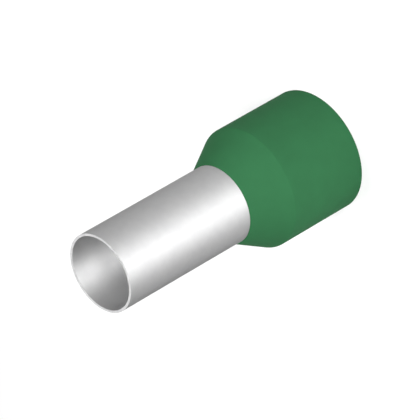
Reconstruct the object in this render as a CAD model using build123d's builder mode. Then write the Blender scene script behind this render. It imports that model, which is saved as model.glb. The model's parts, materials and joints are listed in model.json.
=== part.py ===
# Insulated wire ferrule: a tin-plated copper sleeve with a moulded plastic collar.
# It stands on the collar's open rear rim. The origin is the centre of that rim, Z is
# the common axis of both pieces, and the sleeve's mouth is the top. Millimetres.
from build123d import *
from math import atan2, cos, degrees, sin, tan
import os

# Metal sleeve
sleeve_bore = 5.8
sleeve_wall = 0.2
sleeve_reach = 12.0
flare_slant = 1.5
throat_radius = 1.4
mouth_chamfer = 0.03

# Plastic collar
collar_bore = 8.8
collar_wall = 0.4
collar_length = 10.0
taper_length = 3.0
neck_land = 0.04
shoulder_radius = 0.3
entry_radius = 0.6
rim_radius = 0.05

# A rounding or chamfer takes at most this share of the wall that it is cut into
edge_share = 0.4
mouth_cut = min(mouth_chamfer, edge_share * sleeve_wall)
rim_rounding = min(rim_radius, edge_share * collar_wall)

# Radii and heights that both pieces share
sleeve_radius = sleeve_bore / 2 + sleeve_wall
neck_radius = sleeve_radius + neck_land
collar_radius = collar_bore / 2 + collar_wall
shoulder_height = collar_length - taper_length
mouth_height = collar_length + sleeve_reach

# The outer taper leans from the axis by this angle. The seat inside runs parallel to
# it, one collar wall deeper, and meets the sleeve's outside at the throat.
taper_angle = atan2(collar_radius - neck_radius, taper_length)


def height_on_taper(radius, depth):
    """Height at which a line parallel to the outer taper, this deep in it, has this radius."""
    return collar_length - (radius - neck_radius + depth / cos(taper_angle)) / tan(taper_angle)


throat = (sleeve_radius, height_on_taper(sleeve_radius, collar_wall))
flare_rim_outer = (
    throat[0] + flare_slant * sin(taper_angle),
    throat[1] - flare_slant * cos(taper_angle),
)
flare_rim_inner = (
    flare_rim_outer[0] - sleeve_wall * cos(taper_angle),
    flare_rim_outer[1] - sleeve_wall * sin(taper_angle),
)
entry_corner = (collar_bore / 2, height_on_taper(collar_bore / 2, collar_wall + sleeve_wall))

# The sleeve is one drawn tube of even wall. Its inner end is flared to a funnel that
# lies on the collar's seat, so the profile is the outer skin carried in by one wall.
with BuildPart() as metal_sleeve:
    with BuildSketch(Plane.XZ):
        with BuildLine():
            FilletPolyline(
                (sleeve_radius, mouth_height),
                throat,
                flare_rim_outer,
                radius=throat_radius,
            )
            offset(amount=sleeve_wall, side=Side.RIGHT)
        make_face()
    revolve(axis=Axis.Z)
    mouth_edges = metal_sleeve.edges().group_by(Axis.Z)[-1]
    chamfer(mouth_edges, length=mouth_cut)
metal_sleeve.part.label = "metal_sleeve"

# The collar is one moulding: a plain skirt, a taper down to a thin land around the
# sleeve, and inside it a funnel with a rebate as deep as the sleeve's wall. The flare
# snaps into the rebate, flush with the funnel below it, so no strand catches there.
collar_outline = [
    ((collar_bore / 2, 0), rim_rounding),
    ((collar_radius, 0), rim_rounding),
    ((collar_radius, shoulder_height), shoulder_radius),
    ((neck_radius, collar_length), 0),
    ((sleeve_radius, collar_length), 0),
    (throat, throat_radius),
    (flare_rim_outer, 0),
    (flare_rim_inner, 0),
    (entry_corner, entry_radius),
]
with BuildPart() as plastic_collar:
    with BuildSketch(Plane.XZ):
        with BuildLine():
            FilletPolyline(
                *[corner for corner, corner_radius in collar_outline],
                radius=[corner_radius for corner, corner_radius in collar_outline],
                close=True,
            )
        make_face()
    revolve(axis=Axis.Z)
plastic_collar.part.label = "plastic_collar"

os.makedirs("parts", exist_ok=True)
export_step(metal_sleeve.part, "parts/metal_sleeve.step")
export_step(plastic_collar.part, "parts/plastic_collar.step")

print(f"taper leans {degrees(taper_angle):.2f} degrees from the axis")
print(f"throat at {throat[1]:.3f}, funnel meets the collar's bore at {entry_corner[1]:.3f}")
print(f"flare rim at radius {flare_rim_outer[0]:.3f}, height {flare_rim_outer[1]:.3f}")
print(f"sleeve {metal_sleeve.part.volume:.4f} mm3, collar {plastic_collar.part.volume:.4f} mm3")
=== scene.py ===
# Insulated wire ferrule: a tin-plated copper sleeve, flared into a moulded green collar.
# It stands on the collar's rear rim, with the sleeve's mouth at the top. Metres.
import json
import math
import bpy
import numpy as np
from mathutils import Matrix, Vector


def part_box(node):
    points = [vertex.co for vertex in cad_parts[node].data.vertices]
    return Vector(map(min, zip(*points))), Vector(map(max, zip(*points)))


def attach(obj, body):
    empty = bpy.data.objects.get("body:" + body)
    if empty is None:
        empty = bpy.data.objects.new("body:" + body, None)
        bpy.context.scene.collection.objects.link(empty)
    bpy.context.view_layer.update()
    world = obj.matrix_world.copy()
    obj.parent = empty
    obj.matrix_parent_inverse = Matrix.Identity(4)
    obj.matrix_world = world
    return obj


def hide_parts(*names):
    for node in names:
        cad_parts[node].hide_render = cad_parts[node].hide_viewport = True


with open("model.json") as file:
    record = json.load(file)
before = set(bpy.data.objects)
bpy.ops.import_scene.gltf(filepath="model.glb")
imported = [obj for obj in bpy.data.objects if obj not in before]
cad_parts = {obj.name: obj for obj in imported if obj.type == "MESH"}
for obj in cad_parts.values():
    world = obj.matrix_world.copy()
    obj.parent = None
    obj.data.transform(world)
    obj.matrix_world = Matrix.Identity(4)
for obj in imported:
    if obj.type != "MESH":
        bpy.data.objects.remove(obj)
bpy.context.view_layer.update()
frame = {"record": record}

# Metal sleeve: one length of seamless copper tube, drawn to an even thin wall, cut
# square, tumbled and tin-plated. Its lower end is flared over a cone before the
# collar goes on, so that the strands of the wire slide into it.
mount_radius = {
    mount["name"]: mount["dims"].get("r_mm", 0) / 1000
    for mount in frame["record"]["mounts"]
}
bore_radius = mount_radius["conductor_bore"]
sleeve_radius = mount_radius["sleeve_outside"]
sleeve_wall = sleeve_radius - bore_radius
mouth_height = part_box("metal_sleeve")[1].z
collar_low, collar_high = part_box("plastic_collar")
collar_length = collar_high.z
collar_radius = collar_high.x
collar_bore_radius = mount_radius["insulation_bore"]
collar_wall = collar_radius - collar_bore_radius
taper_length = 0.003
neck_land = 0.00004
neck_radius = sleeve_radius + neck_land
taper_angle = math.atan2(collar_radius - neck_radius, taper_length)
flare_slant = 0.0015
throat_rounding = 0.0014
mouth_rounding = 0.00003
flare_rim_rounding = 0.00003
turned_segments = 360
arc_steps = 8


def height_on_taper(radius, depth):
    """Height where a line parallel to the collar's taper, this deep in it, has this radius."""
    rise = (radius - neck_radius + depth / math.cos(taper_angle)) / math.tan(taper_angle)
    return collar_length - rise


def rounded_outline(corners):
    """Closed outline of a wall's section, with every corner rounded.

    corners has one row for each corner: radius, height and rounding, anticlockwise.
    A corner's arc is centred on its bisector, at the rounding divided by the sine of
    half the corner's angle, and touches both of its straight runs. Its spokes turn
    evenly from one touching point to the other. Returns each point's radius and
    height, and the outward normal there."""
    corners = np.array(corners)
    points, rounding = corners[:, :2], corners[:, 2:]
    to_last = np.roll(points, 1, axis=0) - points
    to_last /= np.linalg.norm(to_last, axis=1, keepdims=True)
    to_next = np.roll(points, -1, axis=0) - points
    to_next /= np.linalg.norm(to_next, axis=1, keepdims=True)
    cosine = (to_last * to_next).sum(axis=1, keepdims=True)
    touch = rounding * np.sqrt((1 + cosine) / (1 - cosine))
    bisector = to_last + to_next
    bisector /= np.linalg.norm(bisector, axis=1, keepdims=True)
    centres = points + bisector * rounding * np.sqrt(2 / (1 - cosine))
    first = (points + to_last * touch - centres) / rounding
    last = (points + to_next * touch - centres) / rounding
    turn = np.arccos(np.clip((first * last).sum(axis=1), -1, 1))[:, None, None]
    share = np.linspace(0, 1, arc_steps + 1)[None, :, None]
    spokes = np.sin((1 - share) * turn) * first[:, None] + np.sin(share * turn) * last[:, None]
    spokes /= np.sin(turn)
    arcs = centres[:, None] + rounding[:, None] * spokes
    cross = to_last[:, 0] * to_next[:, 1] - to_last[:, 1] * to_next[:, 0]
    normals = -np.sign(cross)[:, None, None] * spokes
    return arcs.reshape(-1, 2), normals.reshape(-1, 2)


def turned_piece(name, outline, normals, material):
    """A closed skin made by turning an outline about Z.

    The point at radius r and height z goes to (r cos a, r sin a, z) for evenly spaced
    angles a. The normals turn the same way. The UV map holds the angle as a share of a
    turn, and the length along the outline in millimetres."""
    rows = len(outline)
    angle = np.arange(turned_segments) * 2 * np.pi / turned_segments
    compass = np.stack([np.cos(angle), np.sin(angle)], axis=1)
    places = np.empty((rows, turned_segments, 3))
    places[..., :2] = outline[:, None, :1] * compass
    places[..., 2] = outline[:, 1:]
    facing = np.empty_like(places)
    facing[..., :2] = normals[:, None, :1] * compass
    facing[..., 2] = normals[:, 1:]
    row, column = np.mgrid[0:rows, 0:turned_segments]
    next_row, next_column = (row + 1) % rows, (column + 1) % turned_segments
    around = np.stack([row, next_row, next_row, row], axis=-1) * turned_segments
    around += np.stack([column, column, next_column, next_column], axis=-1)
    mesh = bpy.data.meshes.new(name)
    mesh.from_pydata(places.reshape(-1, 3), [], around.reshape(-1, 4)[:, ::-1])
    mesh.shade_smooth()
    mesh.normals_split_custom_set_from_vertices(facing.reshape(-1, 3))
    step = np.linalg.norm(np.roll(outline, -1, axis=0) - outline, axis=1) * 1000
    along = np.concatenate([[0], np.cumsum(step)])
    turn_share = np.stack([column, column, column + 1, column + 1], axis=-1) / turned_segments
    length = along[np.stack([row, row + 1, row + 1, row], axis=-1)]
    chart = np.stack([turn_share, length], axis=-1).reshape(-1, 4, 2)[:, ::-1]
    mesh.uv_layers.new(name="Surface").uv.foreach_set("vector", chart.ravel())
    mesh.materials.append(material)
    piece = bpy.data.objects.new(name, mesh)
    bpy.context.scene.collection.objects.link(piece)
    return piece


throat = (sleeve_radius, height_on_taper(sleeve_radius, collar_wall))
inner_throat = (bore_radius, height_on_taper(bore_radius, collar_wall + sleeve_wall))
flare_rim_outer = (
    throat[0] + flare_slant * math.sin(taper_angle),
    throat[1] - flare_slant * math.cos(taper_angle),
)
flare_rim_inner = (
    flare_rim_outer[0] - sleeve_wall * math.cos(taper_angle),
    flare_rim_outer[1] - sleeve_wall * math.sin(taper_angle),
)


def add_node(tree, kind, settings, inputs):
    """A shader node with its settings. Each input is set to a value or linked to a socket."""
    node = tree.nodes.new(kind)
    for name, value in settings.items():
        setattr(node, name, value)
    for name, value in inputs.items():
        if isinstance(value, bpy.types.NodeSocket):
            tree.links.new(value, node.inputs[name])
        else:
            node.inputs[name].default_value = value
    return node


def turned_place(tree, around, along):
    """Pattern coordinates for a turned piece, the same at every depth of its wall.

    A point's direction from the axis, of length 1, is multiplied by around, and its
    height in metres by along. One unit is then one grain of a noise."""
    coordinates = add_node(tree, "ShaderNodeTexCoord", {}, {})
    flat = add_node(
        tree, "ShaderNodeVectorMath", {"operation": "MULTIPLY"},
        {0: coordinates.outputs["Object"], 1: (1, 1, 0)},
    )
    direction = add_node(
        tree, "ShaderNodeVectorMath", {"operation": "NORMALIZE"}, {0: flat.outputs[0]}
    )
    height = add_node(
        tree, "ShaderNodeVectorMath", {"operation": "MULTIPLY"},
        {0: coordinates.outputs["Object"], 1: (0, 0, along)},
    )
    place = add_node(
        tree, "ShaderNodeVectorMath", {"operation": "MULTIPLY_ADD"},
        {0: direction.outputs[0], 1: (around, around, around), 2: height.outputs[0]},
    )
    return place.outputs[0]


def solid_place(tree, grain):
    """Pattern coordinates inside a piece: its own X, Y and Z, in grains of this many metres."""
    coordinates = add_node(tree, "ShaderNodeTexCoord", {}, {})
    place = add_node(
        tree, "ShaderNodeVectorMath", {"operation": "SCALE"},
        {0: coordinates.outputs["Object"], "Scale": 1 / grain},
    )
    return place.outputs[0]


def noise_height(tree, place, detail):
    """A noise from 0 to 1 at these coordinates, with this many finer layers."""
    noise = add_node(
        tree, "ShaderNodeTexNoise", {"noise_dimensions": "3D"},
        {"Vector": place, "Scale": 1.0, "Detail": detail, "Roughness": 0.5},
    )
    return noise.outputs[0]


def noise_range(tree, height, low, high):
    """The middle of a noise, from 0.3 to 0.7, spread from low to high."""
    spread = add_node(
        tree, "ShaderNodeMapRange", {"clamp": True},
        {"Value": height, "From Min": 0.3, "From Max": 0.7, "To Min": low, "To Max": high},
    )
    return spread.outputs[0]


def noise_colour(tree, height, dark, light):
    """A colour between dark and light, by the middle of a noise."""
    blend = add_node(
        tree, "ShaderNodeMix", {"data_type": "RGBA"},
        {"Factor": noise_range(tree, height, 0, 1)},
    )
    blend.inputs[6].default_value = (*dark, 1)
    blend.inputs[7].default_value = (*light, 1)
    return blend.outputs[2]


def relief(tree, height, depth, below=None):
    """A bump this many metres deep, laid over the relief below it."""
    bump = add_node(
        tree, "ShaderNodeBump", {}, {"Height": height, "Distance": depth, "Strength": 1.0}
    )
    if below is not None:
        tree.links.new(below, bump.inputs["Normal"])
    return bump.outputs[0]


# Straightening rolls leave very fine lines round the tube, so its highlights stretch
# along it. Over the lines lie a soft haze and the fine grain of the plating.
tin_dark = (0.739, 0.739, 0.743)
tin_light = (0.769, 0.769, 0.769)
tin_rough, tin_smooth = 0.884, 0.844
line_spacing, line_wander, line_depth = 0.00016, 1.5, 0.0000012
haze_grain, haze_depth = 0.0008, 0.000002
plating_grain, plating_depth = 0.00006, 0.0000006
tin = bpy.data.materials.new("tin_plating")
tin.use_nodes = True
tin_tree = tin.node_tree
tin_shader = tin_tree.nodes["Principled BSDF"]
tin_shader.inputs["Metallic"].default_value = 0.988
tin_shader.inputs["Anisotropic"].default_value = 0.88
tin_shader.inputs["Anisotropic Rotation"].default_value = 0.25
# The near-black edge tint is painted shade: it darkens the tube's reflections towards its
# outline.
tin_shader.inputs["Specular Tint"].default_value = (0.05, 0.05, 0.05, 1)
tin_lines = noise_height(tin_tree, turned_place(tin_tree, line_wander, 1 / line_spacing), 2.0)
tin_haze = noise_height(tin_tree, solid_place(tin_tree, haze_grain), 3.0)
tin_grain = noise_height(tin_tree, solid_place(tin_tree, plating_grain), 1.0)
tin_tree.links.new(
    noise_colour(tin_tree, tin_haze, tin_dark, tin_light), tin_shader.inputs["Base Color"]
)
tin_tree.links.new(
    noise_range(tin_tree, tin_haze, tin_rough, tin_smooth), tin_shader.inputs["Roughness"]
)
tin_relief = relief(tin_tree, tin_haze, haze_depth)
tin_relief = relief(tin_tree, tin_lines, line_depth, tin_relief)
tin_relief = relief(tin_tree, tin_grain, plating_depth, tin_relief)
tin_tree.links.new(tin_relief, tin_shader.inputs["Normal"])

# Tumbling leaves the cut edge evenly matt, with none of the tube's fine lines. Its tin is
# also darker than the tube's: painted shade on this upward face, where the lamps from above
# fall strongest.
cut_shaded_dark = (0.62, 0.62, 0.624)
cut_shaded_light = (0.69, 0.69, 0.69)
cut_rough, cut_smooth = 0.92, 0.82
cut_grain, cut_depth = 0.0003, 0.000004
cut_tin = bpy.data.materials.new("tin_on_cut_edge")
cut_tin.use_nodes = True
cut_tree = cut_tin.node_tree
cut_shader = cut_tree.nodes["Principled BSDF"]
cut_shader.inputs["Metallic"].default_value = 1.0
cut_haze = noise_height(cut_tree, solid_place(cut_tree, cut_grain), 3.0)
cut_tree.links.new(
    noise_colour(cut_tree, cut_haze, cut_shaded_dark, cut_shaded_light), cut_shader.inputs["Base Color"]
)
cut_tree.links.new(
    noise_range(cut_tree, cut_haze, cut_rough, cut_smooth), cut_shader.inputs["Roughness"]
)
cut_tree.links.new(relief(cut_tree, cut_haze, cut_depth), cut_shader.inputs["Normal"])

sleeve_outline, sleeve_normals = rounded_outline([
    (sleeve_radius, mouth_height, mouth_rounding),
    (bore_radius, mouth_height, mouth_rounding),
    (*inner_throat, throat_rounding + sleeve_wall),
    (*flare_rim_inner, flare_rim_rounding),
    (*flare_rim_outer, flare_rim_rounding),
    (*throat, throat_rounding),
])
sleeve = turned_piece("tinned_sleeve", sleeve_outline, sleeve_normals, tin)
sleeve.data.materials.append(cut_tin)
cut_rows = 2 * arc_steps + 1
finish = np.zeros((len(sleeve_outline), turned_segments), dtype=np.int32)
finish[:cut_rows] = 1
sleeve.data.polygons.foreach_set("material_index", finish.ravel())
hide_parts("metal_sleeve")
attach(sleeve, "root")

# Plastic collar: one injection moulding in green polypropylene, with an even wall. Its
# skirt covers the wire's insulation, its taper leads down to a thin land around the
# sleeve, and a rebate in its funnel holds the sleeve's flare.
shoulder_rounding = 0.0003
entry_rounding = 0.0006
rim_rounding = 0.00005
neck_rounding = 0.000012
rebate_rounding = 0.00003
entry_corner = (
    collar_bore_radius,
    height_on_taper(collar_bore_radius, collar_wall + sleeve_wall),
)

# The moulding has faint clouds in its colour, flow streaks that run from the neck to the
# rim, and the fine even texture of the mould.
green_dark = (0.0264, 0.1164, 0.0471)
green_light = (0.0283, 0.1248, 0.0506)
green_smooth, green_rough = 0.78, 0.88
cloud_grain = 0.0014
streak_length, streaks_around, streak_depth = 0.006, 9, 0.000003
texture_grain, texture_depth = 0.00011, 0.000002
green = bpy.data.materials.new("green_polypropylene")
green.use_nodes = True
green_tree = green.node_tree
green_shader = green_tree.nodes["Principled BSDF"]
green_shader.inputs["Specular IOR Level"].default_value = 0.04
green_clouds = noise_height(green_tree, solid_place(green_tree, cloud_grain), 4.0)
green_streaks = noise_height(
    green_tree, turned_place(green_tree, streaks_around, 1 / streak_length), 3.0
)
green_texture = noise_height(green_tree, solid_place(green_tree, texture_grain), 2.0)
green_tree.links.new(
    noise_colour(green_tree, green_clouds, green_dark, green_light),
    green_shader.inputs["Base Color"],
)
green_tree.links.new(
    noise_range(green_tree, green_clouds, green_smooth, green_rough),
    green_shader.inputs["Roughness"],
)
green_relief = relief(green_tree, green_streaks, streak_depth)
green_relief = relief(green_tree, green_texture, texture_depth, green_relief)
green_tree.links.new(green_relief, green_shader.inputs["Normal"])

collar_outline, collar_normals = rounded_outline([
    (neck_radius, collar_length, neck_rounding),
    (sleeve_radius, collar_length, neck_rounding),
    (*throat, throat_rounding),
    (*flare_rim_outer, rebate_rounding),
    (*flare_rim_inner, rebate_rounding),
    (*entry_corner, entry_rounding),
    (collar_bore_radius, collar_low.z, rim_rounding),
    (collar_radius, collar_low.z, rim_rounding),
    (collar_radius, collar_length - taper_length, shoulder_rounding),
])
collar = turned_piece("moulded_collar", collar_outline, collar_normals, green)
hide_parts("plastic_collar")
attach(collar, "root")

# Floor: a round sweep of plain white paper. It lies flat to just past the lamps, and its
# edge curls up, so that low views look at paper too. What the camera and the metal see
# of it is lifted towards white, least at the foot, where shadows fall.
floor_drop = 0.00001
flat_reach = 0.8
curl_radius = 0.12
floor_steps = 96


def paper_sweep(name):
    """A round sheet that is flat in the middle and curls up at its edge.

    A square grid of (u, v) from -1 to 1 is laid out on it. The larger of |u| and |v| is
    the share of the way from the middle to the edge, along the paper, and (u, v) gives
    the direction. Up to the flat reach, the way is the radius. Beyond it, the way less
    the flat reach, divided by the curl's radius, is the angle that the curl has turned."""
    line = np.linspace(-1, 1, floor_steps + 1)
    grid_u, grid_v = np.meshgrid(line, line)
    direction = np.stack([grid_u, grid_v], axis=-1)
    direction /= np.maximum(np.linalg.norm(direction, axis=-1, keepdims=True), 1e-9)
    share = np.maximum(np.abs(grid_u), np.abs(grid_v))
    way = share * (flat_reach + curl_radius * np.pi / 2)
    angle = np.maximum(way - flat_reach, 0) / curl_radius
    radius = np.minimum(way, flat_reach) + curl_radius * np.sin(angle)
    height = curl_radius * (1 - np.cos(angle)) - floor_drop
    places = np.concatenate([direction * radius[..., None], height[..., None]], axis=-1)
    row, column = np.mgrid[0:floor_steps, 0:floor_steps]
    first = row * (floor_steps + 1) + column
    across = first + floor_steps + 1
    corners = np.stack([first, first + 1, across + 1, across], axis=-1)
    mesh = bpy.data.meshes.new(name)
    mesh.from_pydata(places.reshape(-1, 3), [], corners.reshape(-1, 4))
    mesh.shade_smooth()
    sheet = bpy.data.objects.new(name, mesh)
    bpy.context.scene.collection.objects.link(sheet)
    return sheet


floor = paper_sweep("floor")

paper_dark = (0.93, 0.93, 0.93)
paper_light = (0.96, 0.96, 0.96)
fibre_grain = 0.0006
foot_reach, white_reach = 0.006, 0.06
foot_share, white_share = 0.5, 1.0
paper = bpy.data.materials.new("white_paper")
paper.use_nodes = True
paper_tree = paper.node_tree
paper_shader = paper_tree.nodes["Principled BSDF"]
paper_shader.inputs["Roughness"].default_value = 1.0
paper_shader.inputs["Specular IOR Level"].default_value = 0.1
paper_fibres = noise_height(paper_tree, solid_place(paper_tree, fibre_grain), 4.0)
paper_tree.links.new(
    noise_colour(paper_tree, paper_fibres, paper_dark, paper_light),
    paper_shader.inputs["Base Color"],
)
seen = add_node(paper_tree, "ShaderNodeLightPath", {}, {})
straight_or_metal = add_node(
    paper_tree, "ShaderNodeMath", {"operation": "MAXIMUM"},
    {0: seen.outputs["Is Camera Ray"], 1: seen.outputs["Is Glossy Ray"]},
)
seen_at_all = add_node(
    paper_tree, "ShaderNodeMath", {"operation": "MAXIMUM"},
    {0: straight_or_metal.outputs[0], 1: seen.outputs["Is Transmission Ray"]},
)
paper_place = add_node(paper_tree, "ShaderNodeTexCoord", {}, {})
from_middle = add_node(
    paper_tree, "ShaderNodeVectorMath", {"operation": "LENGTH"},
    {0: paper_place.outputs["Object"]},
)
lift_there = add_node(
    paper_tree, "ShaderNodeMapRange", {"interpolation_type": "SMOOTHSTEP"},
    {
        "Value": from_middle.outputs["Value"], "From Min": foot_reach,
        "From Max": white_reach, "To Min": foot_share, "To Max": white_share,
    },
)
lift = add_node(
    paper_tree, "ShaderNodeMath", {"operation": "MULTIPLY"},
    {0: seen_at_all.outputs[0], 1: lift_there.outputs[0]},
)
plain_white = add_node(
    paper_tree, "ShaderNodeEmission", {}, {"Color": (1, 1, 1, 1), "Strength": 1.0}
)
seen_paper = add_node(
    paper_tree, "ShaderNodeMixShader", {},
    {0: lift.outputs[0], 1: paper_shader.outputs[0], 2: plain_white.outputs[0]},
)
paper_tree.links.new(
    seen_paper.outputs[0], paper_tree.nodes["Material Output"].inputs["Surface"]
)
floor.data.materials.append(paper)

# Studio: a faint, even, white room, and soft disk lamps aimed at the ferrule's middle.
# Most of the light comes from the front and from above, and a weak lamp lights the back.
room_strength = 0.05
lamp_distance = 0.8
lamp_width = 0.22
world = bpy.data.worlds.new("studio")
world.use_nodes = True
world.node_tree.nodes["Background"].inputs["Color"].default_value = (1, 1, 1, 1)
world.node_tree.nodes["Background"].inputs["Strength"].default_value = room_strength
bpy.context.scene.world = world

view_centre = Vector((0, 0, mouth_height / 2))


def soft_lamp(name, side, elevation, light):
    """A disk lamp aimed at the ferrule's middle.

    side is its angle in degrees from the camera's side, positive towards +X. light is
    how bright it alone makes a white surface that faces it, where 1 is white."""
    towards = Vector((
        math.sin(math.radians(side)) * math.cos(math.radians(elevation)),
        -math.cos(math.radians(side)) * math.cos(math.radians(elevation)),
        math.sin(math.radians(elevation)),
    ))
    lamp_data = bpy.data.lights.new(name, "AREA")
    lamp_data.shape = "DISK"
    lamp_data.size = lamp_width
    lamp_data.energy = light * (math.pi * lamp_distance) ** 2
    lamp = bpy.data.objects.new(name, lamp_data)
    lamp.location = view_centre + towards * lamp_distance
    lamp.rotation_mode = "QUATERNION"
    lamp.rotation_quaternion = towards.to_track_quat("Z", "Y")
    bpy.context.scene.collection.objects.link(lamp)


soft_lamp("key", side=-1, elevation=57, light=0.65)
soft_lamp("side", side=-39, elevation=44, light=0.367)
soft_lamp("high", side=107, elevation=77, light=0.427)
soft_lamp("front", side=-19, elevation=20, light=0.319)
soft_lamp("fill", side=30, elevation=20, light=0.0609)
soft_lamp("back", side=180, elevation=25, light=0.3)

# Camera: the photograph's view, worked out from the outlines of both pieces. It looks
# down on the standing ferrule, and is rolled so that the mouth points to the lower left.
view_distance = 0.290
view_elevation = math.radians(35.44)
view_roll = math.radians(120)
lens_length, sensor_width = 343.33, 36
nearest_seen, farthest_seen = 0.01, 5
aim_right = 0.0000083
aim_up = 0.0000136
towards_camera = Vector((0, -math.cos(view_elevation), math.sin(view_elevation)))
level_right = Vector((1, 0, 0))
level_up = towards_camera.cross(level_right)
right = level_right * math.cos(view_roll) - level_up * math.sin(view_roll)
up = level_right * math.sin(view_roll) + level_up * math.cos(view_roll)
aim = view_centre + right * aim_right + up * aim_up
camera_data = bpy.data.cameras.new("camera")
camera_data.lens = lens_length
camera_data.sensor_width = sensor_width
camera_data.clip_start = nearest_seen
camera_data.clip_end = farthest_seen
camera = bpy.data.objects.new("camera", camera_data)
camera.matrix_world = Matrix.Translation(aim + towards_camera * view_distance) @ Matrix(
    (right, up, towards_camera)
).transposed().to_4x4()
bpy.context.scene.collection.objects.link(camera)
bpy.context.scene.camera = camera

bpy.context.scene.view_settings.view_transform = "Standard"
